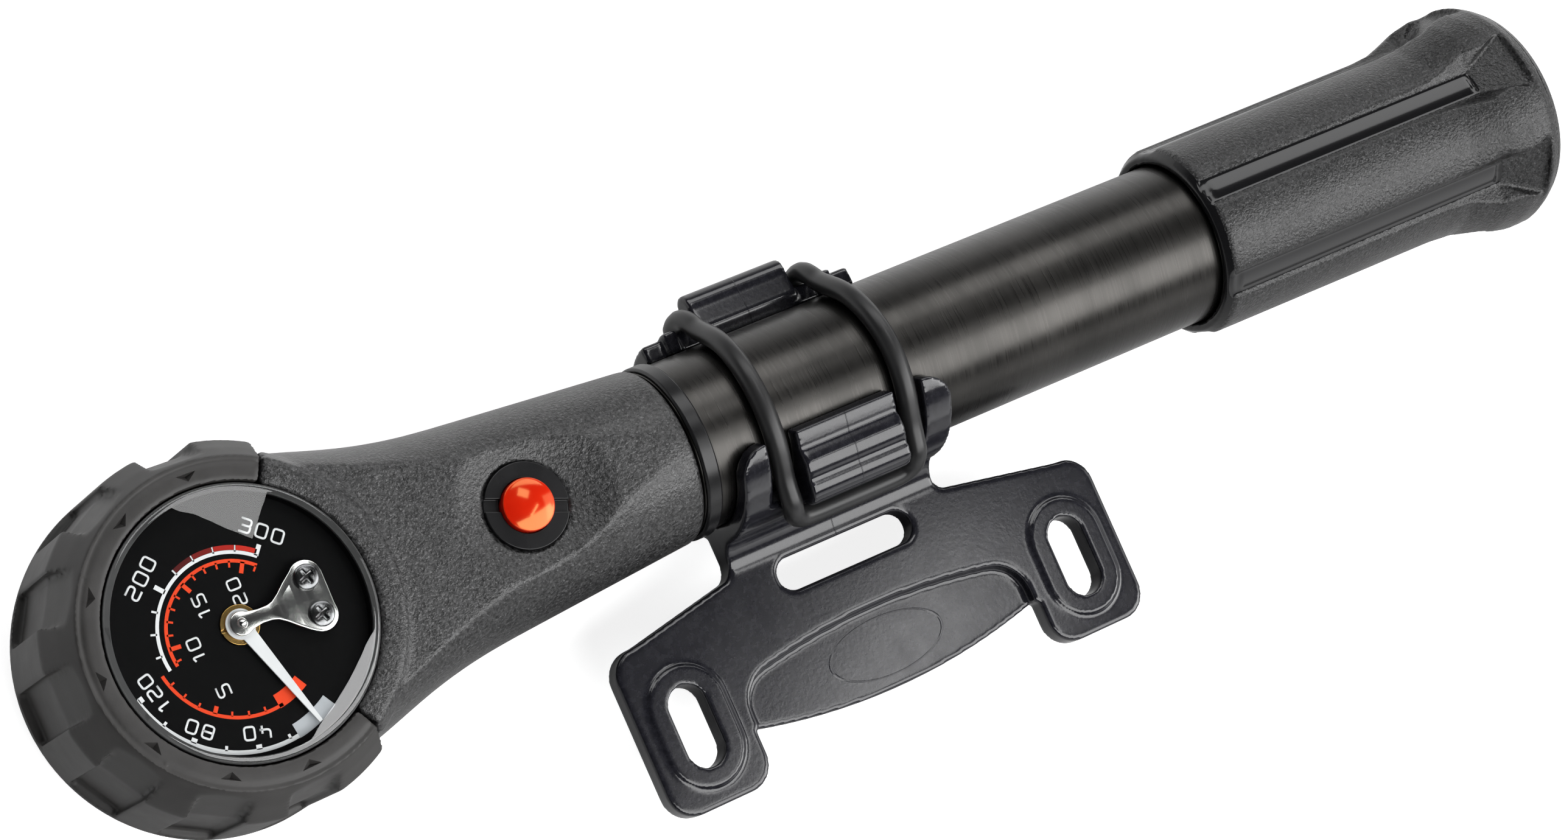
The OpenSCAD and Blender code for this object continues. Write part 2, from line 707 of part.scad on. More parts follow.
// Hook for the band: a lip on the clip's edge that rolls over into a nose
module lug(lip, root, nose, nose_r)
    translate([clip_x - lug_len / 2, 0, 0])
        rotate([90, 0, 90])
            linear_extrude(lug_len)
                union() {
                    translate(nose) circle(nose_r);
                    polygon(concat(lip, root));
                }

module bracket() color(gloss_black)
    difference() {
        union() {
            plate();
            clip_ring();
            // bend between the clip and the plate
            translate([clip_x - clip_len / 2, -clip_r1 + 0.2, plate_top_z])
                rotate([90, 0, 90])
                    linear_extrude(clip_len)
                        mirror([1, 0]) fillet2d(4.3);
            lug([[-4.9, 12.9], [-5.3, 13.4], [-6.9, 12.85], [-7.3, 12.4], [-7.9, 12.95], [-9.3, 13.1], [-10.7, 12.6],
                 [-11.6, 11.85]],
                [[-14.5, 8.4], [-12.5, 6.9], [-9.6, 8]], near_nose, near_nose_r);
            lug([[12.3, -1], [14, -0.4], [17, -0.95]],
                [[17.4, -4.9], [13.6, -4.9], [12.3, -4]], far_nose, far_nose_r);
            // small horns beside the far lug
            for (side = [-1, 1])
                translate([clip_x + side * 12.7, 13.6, -0.9]) cube([2.2, 3.4, 1.8], center = true);
        }
        rod_x(clip_x - 40, clip_x + 40, clip_r0);
        // notches beside the near lug that let the band lie on the barrel
        for (side = [-1, 1])
            translate([clip_x + side * (lug_len + notch_w) / 2 - notch_w / 2, 0, 0])
                rotate([0, 90, 0])
                    linear_extrude(notch_w)
                        polygon([[0, 0], 30 * [-sin(near_end - 4), cos(near_end - 4)],
                                 30 * [-sin(notch_end), cos(notch_end)]]);
        // rounded corners of the near edge
        for (side = [-1, 1])
            translate([clip_x + side * (clip_len / 2 - wing_r), 0, 0])
                rotate([near_end, 0, 0])
                    translate([0, 20, 0])
                        rotate([90, 0, 0])
                            linear_extrude(12)
                                difference() {
                                    translate([side > 0 ? 0 : -6, -2]) square([6, wing_r + 2]);
                                    translate([0, wing_r]) circle(wing_r + 0.03);
                                }
    }

// Route of the band's centre line: [x from the clip, angle about the axis, height over the barrel]
band_half = [[0, -24.5, 4.4], [6, -24.5, 4.4], [9.1, -23, 4.4], [9.9, -16, 4.4], [10, -6, 4.4],
             [10, 0, 4.05], [10, 6, 3.2], [10, 12, 2.1], [10, 20, 1.65], [10.2, 35, 1.6],
             [10.4, 50, 1.6], [10.6, 70, 1.6], [10.7, 90, 1.6], [10.6, 110, 1.6], [10.5, 126, 1.7],
             [10.5, 134, 2.1], [10.4, 141, 3], [10.3, 146, 3.95], [10.1, 151, 4.35], [9.8, 155, 4.4],
             [8.6, 159.5, 4.4], [6, 161, 4.35], [0, 161, 4.35]];

function band_point(p, side) =
    [clip_x + side * p[0], (barrel_r + p[2]) * cos(p[1]), (barrel_r + p[2]) * sin(p[1])];

module band() color(rubber_grey)
    for (side = [-1, 1], i = [0:len(band_half) - 2])
        hull() {
            translate(band_point(band_half[i], side)) sphere(band_r, $fn = 12);
            translate(band_point(band_half[i + 1], side)) sphere(band_r, $fn = 12);
        }

// ---- assembly ------------------------------------------------------------

head_casing();
manifold();
valve_port();
port_gasket();
valve_pin();
valve_cover();
gauge_cup();
gauge_stem();
bourdon_coil();
dial_plate();
dial_bush();
needle_arbor();
needle();
pivot_bridge();
bridge_screws();
lens_gasket();
lens();
button_ring();
bleed_button();
bleed_spring();
bleed_seal();
check_ball();
check_spring();
cylinder_seal();
inner_cylinder();
barrel();
collar_ring();
barrel_bush();
rod_wiper();
piston_rod();
piston();
piston_seal();
handle_grip();
bump_ring();
rod_screw();
handle_cap();
bracket();
band();
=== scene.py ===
import math

import bmesh
import bpy
from mathutils import Matrix, Vector


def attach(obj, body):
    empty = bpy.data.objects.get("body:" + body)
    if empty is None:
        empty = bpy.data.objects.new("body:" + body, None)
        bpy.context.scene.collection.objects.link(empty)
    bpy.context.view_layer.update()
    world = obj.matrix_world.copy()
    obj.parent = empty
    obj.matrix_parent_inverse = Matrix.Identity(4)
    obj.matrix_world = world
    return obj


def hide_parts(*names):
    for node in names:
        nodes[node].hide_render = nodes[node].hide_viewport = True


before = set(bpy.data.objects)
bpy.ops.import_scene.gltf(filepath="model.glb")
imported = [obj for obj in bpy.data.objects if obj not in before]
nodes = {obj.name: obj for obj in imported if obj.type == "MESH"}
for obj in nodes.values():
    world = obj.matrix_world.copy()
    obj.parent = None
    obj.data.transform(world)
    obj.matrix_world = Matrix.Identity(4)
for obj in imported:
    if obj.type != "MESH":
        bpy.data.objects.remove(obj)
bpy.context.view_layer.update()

# ---- camera ---------------------------------------------------------------
# A long lens looks down on the dial from the front of the pump, with the
# barrel and handle running away to the upper right.
camera_data = bpy.data.cameras.new("camera")
camera_data.lens = 90.29
camera_data.sensor_width = 36
camera_data.sensor_fit = "HORIZONTAL"
camera_data.clip_start = 0.01
camera = bpy.data.objects.new("camera", camera_data)
bpy.context.collection.objects.link(camera)
right = Vector((0.83020533, -0.40400329, 0.38410995))
up = Vector((0.34556024, 0.91365, 0.21408362))
back = Vector((-0.43743255, -0.04500023, 0.89812457))
camera.matrix_world = (Matrix.Translation((-0.13011, -0.02646, 0.48772))
                       @ Matrix((right, up, back)).transposed().to_4x4())
bpy.context.scene.camera = camera

# ---- studio ---------------------------------------------------------------
# A white sweep under a dark ceiling. A long softbox and a card stand on the near
# side, a narrower softbox on the far side and one beyond the handle; the glass
# mirrors two small panels.
def calc(tree, operation, *values):
    """What a maths operation makes of sockets and plain numbers"""
    node = tree.nodes.new("ShaderNodeMath")
    node.operation = operation
    for socket, value in zip(node.inputs, values):
        if isinstance(value, float):
            socket.default_value = value
        else:
            tree.links.new(value, socket)
    return node.outputs[0]


def ramp(tree, value, low, high, a, b):
    """Carries value from low..high to a..b"""
    node = tree.nodes.new("ShaderNodeMapRange")
    node.inputs["From Min"].default_value = low
    node.inputs["From Max"].default_value = high
    node.inputs["To Min"].default_value = a
    node.inputs["To Max"].default_value = b
    tree.links.new(value, node.inputs["Value"])
    return node.outputs[0]


def along_axes(tree):
    """The object coordinates, whole and split along the axes"""
    place = tree.nodes.new("ShaderNodeTexCoord")
    split = tree.nodes.new("ShaderNodeSeparateXYZ")
    tree.links.new(place.outputs["Object"], split.inputs[0])
    return place.outputs["Object"], split.outputs


bpy.context.scene.view_settings.view_transform = "Standard"

world = bpy.data.worlds.new("studio")
world.use_nodes = True
bpy.context.scene.world = world
tree = world.node_tree
tree.nodes.clear()
rays = tree.nodes.new("ShaderNodeLightPath")
place = tree.nodes.new("ShaderNodeTexCoord")
split = tree.nodes.new("ShaderNodeSeparateXYZ")
tree.links.new(place.outputs["Generated"], split.inputs[0])
# the world's brightness from the horizon up to the ceiling
height = tree.nodes.new("ShaderNodeValToRGB")
stops = height.color_ramp.elements
for stop, position, colour in ((stops[0], 0.0, (0.9, 0.9, 0.9, 1)),
                               (stops[1], 0.55, (0.02, 0.02, 0.022, 1))):
    stop.position = position
    stop.color = colour
for position, colour in ((0.10, (0.75, 0.75, 0.76, 1)), (0.30, (0.12, 0.12, 0.125, 1))):
    stops.new(position).color = colour
tree.links.new(split.outputs["Z"], height.inputs[0])
studio_light = tree.nodes.new("ShaderNodeBackground")
tree.links.new(height.outputs["Color"], studio_light.inputs["Color"])
white = tree.nodes.new("ShaderNodeBackground")
white.inputs["Color"].default_value = (1, 1, 1, 1)
seen = calc(tree, "MAXIMUM", rays.outputs["Is Camera Ray"], rays.outputs["Is Transmission Ray"])
choose = tree.nodes.new("ShaderNodeMixShader")
tree.links.new(seen, choose.inputs["Fac"])
tree.links.new(studio_light.outputs[0], choose.inputs[1])
tree.links.new(white.outputs[0], choose.inputs[2])
out = tree.nodes.new("ShaderNodeOutputWorld")
tree.links.new(choose.outputs[0], out.inputs["Surface"])

floor_z = -0.0176
floor_reach = 4.0
bm = bmesh.new()
bmesh.ops.create_grid(bm, x_segments=1, y_segments=1, size=floor_reach,
                      matrix=Matrix.Translation((0.1, 0, floor_z)))
floor_mesh = bpy.data.meshes.new("floor")
bm.to_mesh(floor_mesh)
floor = bpy.data.objects.new("floor", floor_mesh)
bpy.context.collection.objects.link(floor)
paper = bpy.data.materials.new("paper")
paper.use_nodes = True
tree = paper.node_tree
tree.nodes.clear()
rays = tree.nodes.new("ShaderNodeLightPath")
matt = tree.nodes.new("ShaderNodeBsdfDiffuse")
matt.inputs["Color"].default_value = (0.52, 0.52, 0.52, 1)
lift = tree.nodes.new("ShaderNodeEmission")
lift.inputs["Color"].default_value = (1, 1, 1, 1)
seen_glow = 0.84
painted_far_glow = 0.75
seen = calc(tree, "MULTIPLY", rays.outputs["Is Camera Ray"], seen_glow)
# painted light: to glossy rays the sweep glows, from nothing on its near side to brightest on its far
# side, in place of lamp light falling there
place, parts = along_axes(tree)
side = ramp(tree, parts["Y"], -0.02, 0.06, 0.0, painted_far_glow)
tree.links.new(calc(tree, "MULTIPLY_ADD", rays.outputs["Is Glossy Ray"], side, seen),
               lift.inputs["Strength"])
total = tree.nodes.new("ShaderNodeAddShader")
tree.links.new(matt.outputs[0], total.inputs[0])
tree.links.new(lift.outputs[0], total.inputs[1])
out = tree.nodes.new("ShaderNodeOutputMaterial")
tree.links.new(total.outputs[0], out.inputs["Surface"])
floor_mesh.materials.append(paper)


def softbox(name, toward, distance, width, length, watts, aim=(0.12, 0, 0), roll=(1, 0, 0),
            diffuse=True):
    """A rectangular lamp in a direction from the pump, with its long side along roll"""
    lamp = bpy.data.lights.new(name, "AREA")
    lamp.shape = "RECTANGLE"
    lamp.size = length
    lamp.size_y = width
    lamp.energy = watts
    obj = bpy.data.objects.new(name, lamp)
    bpy.context.collection.objects.link(obj)
    z = Vector(toward).normalized()
    x = Vector(roll)
    x = (x - z * x.dot(z)).normalized()
    y = z.cross(x)
    obj.matrix_world = (Matrix.Translation(Vector(aim) + z * distance)
                        @ Matrix((x, y, z)).transposed().to_4x4())
    obj.visible_camera = False
    obj.visible_diffuse = diffuse


softbox("near_softbox", (0.30, -0.50, 0.81), 0.95, 0.52, 1.5, 18)
softbox("near_card", (0.2, -0.95, 0.20), 1.0, 0.35, 1.5, 2.2, diffuse=False)
softbox("far_softbox", (0.30, 0.71, 0.64), 0.95, 0.35, 1.5, 7.2)
softbox("glass_panel", (0.341, 0.371, 0.863), 0.9, 0.225, 0.27, 1.1,
        aim=(0.026, 0.009, 0.013), roll=(-0.719, 0.691, 0.067), diffuse=False)
softbox("end_softbox", (0.85, -0.22, 0.50), 0.8, 0.4, 0.55, 1.5,
        aim=(0.06, 0, 0), roll=(0, 1, 0), diffuse=False)
softbox("rim_panel", (0.437, -0.142, 0.889), 0.8, 0.042, 0.31, 0.4,
        aim=(0.0295, -0.0121, 0.0129), roll=(-0.755, -0.595, 0.279), diffuse=False)


# ---- barrel ---------------------------------------------------------------
# Black anodised aluminium tube, turned, so that fine lines run round it.
# It is pressed on the head's spigot and slides inside the handle.
def material(name):
    """An empty material with its output, shader and object coordinates"""
    mat = bpy.data.materials.new(name)
    mat.use_nodes = True
    tree = mat.node_tree
    shader = tree.nodes["Principled BSDF"]
    place = tree.nodes.new("ShaderNodeTexCoord")
    return mat, tree, shader, place.outputs["Object"]


def noise(tree, place, size, detail, stretch=(1, 1, 1), rough=0.55):
    """A noise whose features are about size metres across, stretched along the axes"""
    lay = tree.nodes.new("ShaderNodeMapping")
    lay.inputs["Scale"].default_value = [1 / s for s in stretch]
    tree.links.new(place, lay.inputs["Vector"])
    tex = tree.nodes.new("ShaderNodeTexNoise")
    tex.inputs["Scale"].default_value = 0.5 / size
    tex.inputs["Detail"].default_value = detail
    tex.inputs["Roughness"].default_value = rough
    tree.links.new(lay.outputs[0], tex.inputs["Vector"])
    return tex.outputs[0]


def tint(tree, value, dark, light, low=0.35, high=0.65):
    """A colour between dark and light, steered by value"""
    node = tree.nodes.new("ShaderNodeValToRGB")
    node.color_ramp.elements[0].position = low
    node.color_ramp.elements[0].color = (*dark, 1)
    node.color_ramp.elements[1].position = high
    node.color_ramp.elements[1].color = (*light, 1)
    tree.links.new(value, node.inputs[0])
    return node.outputs[0]


def bumps(tree, shader, value, depth, under=None):
    """Raises the surface by value times depth metres"""
    node = tree.nodes.new("ShaderNodeBump")
    node.inputs["Strength"].default_value = 1.0
    node.inputs["Distance"].default_value = depth
    tree.links.new(value, node.inputs["Height"])
    if under is not None:
        tree.links.new(under, node.inputs["Normal"])
    tree.links.new(node.outputs[0], shader.inputs["Normal"])


def turned_metal(name, dark, light, roughness, line=0.00006, depth=0.0000006, drawn=(1, 60, 60)):
    """Metal with fine turning lines, drawn out along the axes by the factors in drawn"""
    mat, tree, shader, place = material(name)
    lines = noise(tree, place, line, 2.0, stretch=drawn)
    broad = noise(tree, place, 0.004, 3.0, stretch=(1, 3, 3))
    tree.links.new(tint(tree, broad, dark, light), shader.inputs["Base Color"])
    tree.links.new(ramp(tree, lines, 0.3, 0.7, roughness * 0.85, roughness * 1.15),
                   shader.inputs["Roughness"])
    shader.inputs["Metallic"].default_value = 1.0
    bumps(tree, shader, lines, depth)
    return mat


def finished(name, bm, mat, body, replaced, smooth=True):
    """Makes a piece of a bmesh, gives it its material and hands it to the frame"""
    mesh = bpy.data.meshes.new(name)
    for face in bm.faces:
        face.smooth = smooth
    bm.to_mesh(mesh)
    bm.free()
    piece = bpy.data.objects.new(name, mesh)
    bpy.context.collection.objects.link(piece)
    mesh.materials.append(mat)
    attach(piece, body)
    if replaced:
        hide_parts(*replaced)
    return piece


def turned(profile, centre=(0, 0, 0), axis=(1, 0, 0), steps=128):
    """A closed profile of (along, radius) points in millimetres, spun about an axis"""
    bm = bmesh.new()
    centre = Vector(centre)
    axis = Vector(axis)
    side = Vector((0, 0, 1)) if abs(axis.x) > 0.5 else Vector((1, 0, 0))
    ring = [bm.verts.new(centre + axis * (a / 1000) + side * (r / 1000)) for a, r in profile]
    edges = [bm.edges.new((ring[i], ring[(i + 1) % len(ring)])) for i in range(len(ring))]
    if profile[0][1] == 0 and profile[-1][1] == 0:
        bm.edges.remove(edges[-1])
        edges.pop()
    bmesh.ops.spin(bm, geom=ring + edges, cent=centre, axis=axis, dvec=(0, 0, 0),
                   angle=2 * math.pi, steps=steps, use_merge=True, use_duplicate=False)
    bmesh.ops.remove_doubles(bm, verts=bm.verts, dist=1e-6)
    bmesh.ops.recalc_face_normals(bm, faces=bm.faces)
    return bm


def eased(piece, width, segments=3, angle=30):
    """Rounds a piece's sharp edges by width millimetres"""
    mod = piece.modifiers.new("eased", "BEVEL")
    mod.width = width / 1000
    mod.segments = segments
    mod.limit_method = "ANGLE"
    mod.angle_limit = math.radians(angle)
    mod.harden_normals = True


black_anodised = turned_metal("black_anodised", (0.029, 0.028, 0.0265), (0.038, 0.0365, 0.0345),
                              0.30, line=0.00013, depth=0.000012)
barrel = finished("barrel_tube", turned([(87.7, 10), (226, 10), (226, 12), (87.7, 12)]),
                  black_anodised, "pump_body", ["barrel"])
eased(barrel, 0.25)


# ---- works inside ---------------------------------------------------------
# Clear anodised manifold, valve port and inner cylinder, brass stem and coil,
# springs, seals and the piston, all shut in the head and the barrel.
def dressed(names, mat):
    """Gives CAD nodes that are shown as they are a material"""
    for name in names:
        nodes[name].data.materials.clear()
        nodes[name].data.materials.append(mat)


dressed(("manifold", "valve_port", "inner_cylinder", "piston_rod"),
        turned_metal("bright_alloy", (0.62, 0.62, 0.63), (0.74, 0.74, 0.75), 0.28))
dressed(("valve_pin", "gauge_stem", "bourdon_coil"),
        turned_metal("turned_brass", (0.56, 0.38, 0.15), (0.66, 0.47, 0.20), 0.26))
dressed(("needle_arbor", "bleed_spring", "check_ball", "check_spring", "rod_screw"),
        turned_metal("spring_steel", (0.50, 0.50, 0.49), (0.62, 0.62, 0.60), 0.24))


def moulded(name, dark, light, roughness, grain, depth, painted_glints=0.0, mottle=0.004, tint_by=None,
            shine=0.5):
    """Moulded plastic or rubber: an even grain, a faint mottle and, on coarse grain, painted glints,
    bright specks painted into the colour tint_by is the grain size that steers the colour, in place of
    the mottle.
    """
    mat, tree, shader, place = material(name)
    fine = noise(tree, place, grain, 2.0, rough=0.6)
    broad = noise(tree, place, mottle, 4.0)
    if tint_by:
        colour = tint(tree, noise(tree, place, tint_by, 3.0, rough=0.7), dark, light, 0.40, 0.60)
    else:
        colour = tint(tree, broad, dark, light)
    # painted glints: bright specks painted into the base colour where a grain-sized noise peaks,
    # standing in for light caught by the grain
    if painted_glints:
        painted_glint = tree.nodes.new("ShaderNodeMix")
        painted_glint.data_type = "RGBA"
        glint_gain = 2.4
        bright = tuple(min(1.0, c * glint_gain) for c in light)
        speck = noise(tree, place, grain, 1.0)
        tree.links.new(ramp(tree, speck, 0.62, 0.74, 0.0, painted_glints), painted_glint.inputs[0])
        tree.links.new(colour, painted_glint.inputs[6])
        painted_glint.inputs[7].default_value = (*bright, 1)
        colour = painted_glint.outputs[2]
    tree.links.new(colour, shader.inputs["Base Color"])
    tree.links.new(ramp(tree, broad, 0.3, 0.7, roughness * 0.9, roughness * 1.1),
                   shader.inputs["Roughness"])
    shader.inputs["Specular IOR Level"].default_value = shine
    bumps(tree, shader, fine, depth)
    return mat


soft_rubber = moulded("soft_rubber", (0.016, 0.016, 0.017), (0.024, 0.024, 0.025), 0.62,
                      0.00012, 0.000006)
dressed(("port_gasket", "bleed_seal", "cylinder_seal", "rod_wiper", "piston_seal", "bump_ring"),
        soft_rubber)
dressed(("piston", "barrel_bush"),
        moulded("smooth_nylon", (0.020, 0.020, 0.021), (0.028, 0.028, 0.029), 0.38, 0.0001, 0.000003))


# ---- head casing ----------------------------------------------------------
# Glass-filled nylon shell, one moulding from the round head to the collar,
# with a fine spark-eroded grain that catches the light where it skims it, and painted glints, bright
# specks in its colour.
def merged(node):
    """A copy of a CAD solid with its shared corners merged"""
    bm = bmesh.new()
    bm.from_mesh(nodes[node].data)
    bmesh.ops.remove_doubles(bm, verts=bm.verts, dist=1e-6)
    return bm


def softened(name, node, mat, width, body="pump_body"):
    """A CAD solid of the right shape with its sharp edges rounded by width millimetres"""
    sharp = 24
    bm = merged(node)
    bmesh.ops.dissolve_limit(bm, angle_limit=0.01, verts=bm.verts, edges=bm.edges,
                             use_dissolve_boundaries=False, delimit={"NORMAL"})
    piece = finished(name, bm, mat, body, [node])
    piece.data.set_sharp_from_angle(angle=math.radians(sharp))
    eased(piece, width, angle=sharp)


def carved(piece, cutter, operation="DIFFERENCE"):
    """Cuts a bmesh out of a piece, or joins it on"""
    mesh = bpy.data.meshes.new(piece.name + "_cutter")
    cutter.to_mesh(mesh)
    cutter.free()
    tool = bpy.data.objects.new(mesh.name, mesh)
    bpy.context.collection.objects.link(tool)
    mod = piece.modifiers.new("carved", "BOOLEAN")
    mod.operation = operation
    mod.solver = "EXACT"
    mod.object = tool
    settled(piece)
    bpy.data.objects.remove(tool)


def settled(piece):
    """Takes a piece's modifiers into its mesh"""
    bpy.context.view_layer.update()
    done = bpy.data.meshes.new_from_object(piece.evaluated_get(bpy.context.evaluated_depsgraph_get()))
    old = piece.data
    piece.modifiers.clear()
    piece.data = done
    bpy.data.meshes.remove(old)
    done.name = piece.name


def melted(piece, grain, rounds):
    """Rounds every edge as a moulding's are, by about grain millimetres"""
    mod = piece.modifiers.new("melted", "REMESH")
    mod.mode = "VOXEL"
    mod.voxel_size = grain / 1000
    mod.use_smooth_shade = True
    soft = piece.modifiers.new("smoothed", "SMOOTH")
    soft.factor = 0.5
    soft.iterations = rounds
    settled(piece)
    for face in piece.data.polygons:
        face.use_smooth = True


def solid(name, node, mat, body="pump_body"):
    """A merged copy of a CAD solid, to be carved and melted"""
    return finished(name, merged(node), mat, body, [node], smooth=False)


grained_nylon = moulded("grained_nylon", (0.001, 0.001, 0.0011), (0.034, 0.034, 0.0345), 0.34,
                        0.00019, 0.00013, painted_glints=1.0, tint_by=0.00025, shine=0.38)
casing = solid("casing", "head_casing", grained_nylon)
melted(casing, 0.45, 3)

# ---- collar ---------------------------------------------------------------
# Thin glossy ring, snapped round the end of the neck to cover the joint.
gloss_black = moulded("gloss_black", (0.005, 0.005, 0.0055), (0.008, 0.008, 0.0085), 0.25,
                      0.0006, 0.000002, shine=0.25)
softened("collar", "collar_ring", gloss_black, 0.25)

# ---- valve cover ----------------------------------------------------------
# Soft rubber hood over the front of the head, ribbed for grip; it peels off
# upwards to free the valve port.
dial_x = 21.0
dial_axis = {"centre": (dial_x / 1000, 0, 0), "axis": (0, 0, 1)}
hood_rubber = moulded("hood_rubber", (0.019, 0.018, 0.0172), (0.029, 0.0276, 0.0267), 0.50,
                      0.00012, 0.00001, mottle=0.0025, shine=0.32)
hood = solid("hood", "valve_cover", hood_rubber, body="valve_cover_body")
groove = [(12.1, 20.55), (12.6, 20.3), (13.5, 20.3), (13.5, 21.5), (12.6, 21.5), (12.1, 21.1)]
carved(hood, turned(groove, **dial_axis, steps=96))
melted(hood, 0.33, 4)
# small pointed notches in the band round the glass
first_notch = 88.2
notch_step = 30.6
for count in range(7):
    centre = (Matrix.Translation((dial_x / 1000, 0, 0))
              @ Matrix.Rotation(math.radians(first_notch + notch_step * count), 4, "Z"))
    notch = bmesh.new()
    corners = [notch.verts.new(centre @ (Vector(c) / 1000)) for c in
               ((18.95, 0, 12.5), (20.15, 1.6, 12.5), (20.15, -1.6, 12.5), (19.8, 0, 11.65))]
    bmesh.ops.convex_hull(notch, input=corners)
    bmesh.ops.recalc_face_normals(notch, faces=notch.faces)
    carved(hood, notch)
hood.data.set_sharp_from_angle(angle=math.radians(32))

# ---- gauge cup ------------------------------------------------------------
# Black turned aluminium cup that holds the coil and the dial; the rubber
# ring on its rim carries the glass.
cup_metal = turned_metal("cup_metal", (0.05, 0.048, 0.045), (0.065, 0.062, 0.058), 0.3,
                         drawn=(60, 60, 1))
softened("cup", "gauge_cup", cup_metal, 0.12)
satin_alloy = turned_metal("satin_alloy", (0.045, 0.045, 0.043), (0.06, 0.06, 0.058), 0.20,
                           drawn=(60, 60, 1))
lip_profile = [(10.04, 16.9), (10.6, 17.0), (11.4, 17.27), (10.04, 17.27)]
lip = finished("cup_lip", turned(lip_profile, **dial_axis),
               satin_alloy, "pump_body", [])
eased(lip, 0.04, 2)
softened("glass_ring", "lens_gasket", soft_rubber, 0.12)

# ---- dial -----------------------------------------------------------------
# Thin aluminium plate painted matt black, printed with an outer scale in
# white to 120, carried on inside to 300, and a second scale in orange.
# in millimetres; the print stands a little off the needle's axis
dial_top = 10.0
scale_x = 20.2
scale_y = -0.3
ink_t = 0.03


def paint(name, colour, roughness=0.45, shine=0.15):
    """Flat printing ink with a slight unevenness"""
    return moulded(name, tuple(c * 0.95 for c in colour), colour, roughness, 0.00012, 0.000003,
                   mottle=0.001, shine=shine)


dial_black = paint("dial_black", (0.0014, 0.0014, 0.0016), 0.6, 0.05)
softened("dial_face", "dial_plate", dial_black, 0.05)


def outward(degrees):
    """The direction of an angle of the dial"""
    return Vector((math.cos(math.radians(degrees)), math.sin(math.radians(degrees)), 0))


def polar(radius, degrees):
    """A point of the dial from the middle of its scales, in millimetres"""
    return Vector((scale_x + radius * math.cos(math.radians(degrees)),
                   scale_y + radius * math.sin(math.radians(degrees)), 0))


def printed(bm, corners):
    """Adds one flat patch of ink from its corners"""
    bm.faces.new([bm.verts.new(Vector((c.x, c.y, dial_top)) / 1000) for c in corners])


def ring_band(bm, r0, r1, start, end):
    """Adds a band of ink between two radii and two angles"""
    ends = (polar(r0, start), polar(r1, start))
    pair = [bm.verts.new(Vector((p.x, p.y, dial_top)) / 1000) for p in ends]
    edge = bm.edges.new(pair)
    step = 2.5
    bmesh.ops.spin(bm, geom=pair + [edge], cent=(scale_x / 1000, scale_y / 1000, 0), axis=(0, 0, 1),
                   dvec=(0, 0, 0), angle=math.radians(end - start),
                   steps=max(2, int(abs(end - start) / step)), use_merge=False, use_duplicate=False)


def tick(bm, r0, r1, degrees, width):
    """Adds one mark of the scale"""
    out = outward(degrees)
    side = Vector((-out.y, out.x, 0)) * (width / 2)
    a, b = polar(r0, degrees), polar(r1, degrees)
    printed(bm, [a - side, b - side, b + side, a + side])


def inked(name, bm, mat):
    """Gives the flat patches a thickness and hands the print to the frame"""
    bmesh.ops.remove_doubles(bm, verts=bm.verts, dist=1e-7)
    for face in bm.faces:
        face.normal_update()
        if face.normal.z < 0:
            face.normal_flip()
    bmesh.ops.solidify(bm, geom=bm.faces[:], thickness=-ink_t / 1000)
    finished(name, bm, mat, "pump_body", [], smooth=False)


# the white scale has a mark at every 20, 16 degrees apart
mark_step = 16
bm = bmesh.new()
ring_band(bm, 15.35, 15.92, -82, -167)
for value in range(20, 121, 20):
    major = value in (40, 80, 120)
    tick(bm, 14.85, 15.5, -70 - mark_step * value / 20, 0.75 if major else 0.36)
ring_band(bm, 9.72, 10.18, 190, 49)
for value in range(140, 301, 20):
    major = value in (200, 300)
    tick(bm, 10.0, 11.5 if major else 10.85, 178 - mark_step * (value - 140) / 20,
         0.6 if major else 0.26)
white_ink = paint("white_ink", (0.72, 0.73, 0.75))
inked("white_scale", bm, white_ink)

reds = ((0.075, 0.004, 0.004), (0.16, 0.007, 0.005), (0.36, 0.012, 0.007), (0.50, 0.020, 0.010))
for step, colour in enumerate(reds):
    bm = bmesh.new()
    ring_band(bm, 10.22, 10.85, 113.6 - step * mark_step, 98.4 - step * mark_step)
    inked("red_band_%d" % (step + 1), bm, paint("red_ink_%d" % (step + 1), colour))

# the orange scale has a mark at every unit, and steps inwards half way round
five_at = -127.3
unit_step = 11.55
inwards_at = -169
bm = bmesh.new()
ring_band(bm, 10.97, 11.42, -80, -170)
ring_band(bm, 8.6, 9.06, -170, -313)
for unit in range(2, 22):
    degrees = five_at - (unit - 5) * unit_step
    major = unit % 5 == 0
    if degrees > inwards_at:
        tick(bm, 10.1 if major else 10.45, 11.1, degrees, 0.55 if major else 0.26)
    else:
        tick(bm, 7.3 if major else 7.95, 8.8, degrees, 0.55 if major else 0.26)
orange_ink = paint("orange_ink", (0.75, 0.055, 0.012))
inked("orange_scale", bm, orange_ink)

bm = bmesh.new()
ring_band(bm, 14.0, 16.0, -82, -59)
grey_ink = paint("grey_ink", (0.42, 0.44, 0.47))
inked("white_tag", bm, grey_ink)
bm = bmesh.new()
ring_band(bm, 9.6, 11.5, -83, -60)
inked("orange_tag", bm, orange_ink)

# strokes of each numeral in a box one high and w wide, corner by corner; a list
# that ends on its first point is closed
w = 0.72
box = [(0, 0), (w, 0), (w, 1), (0, 1), (0, 0)]
numerals = {
    "0": [box],
    "1": [[(0.12, 0.82), (0.42, 1), (0.42, 0)]],
    "2": [[(0, 1), (w, 1), (w, 0.52), (0, 0.48), (0, 0), (w, 0)]],
    "3": [[(0, 1), (w, 1), (w, 0.5), (0.12, 0.5)], [(w, 0.5), (w, 0), (0, 0)]],
    "4": [[(0.06, 1), (0.06, 0.32), (0.8, 0.32)], [(0.62, 0.62), (0.62, 0)]],
    "5": [[(w, 1), (0, 1), (0, 0.54), (w, 0.54), (w, 0), (0, 0)]],
    "8": [box, [(0, 0.5), (w, 0.5)]],
}


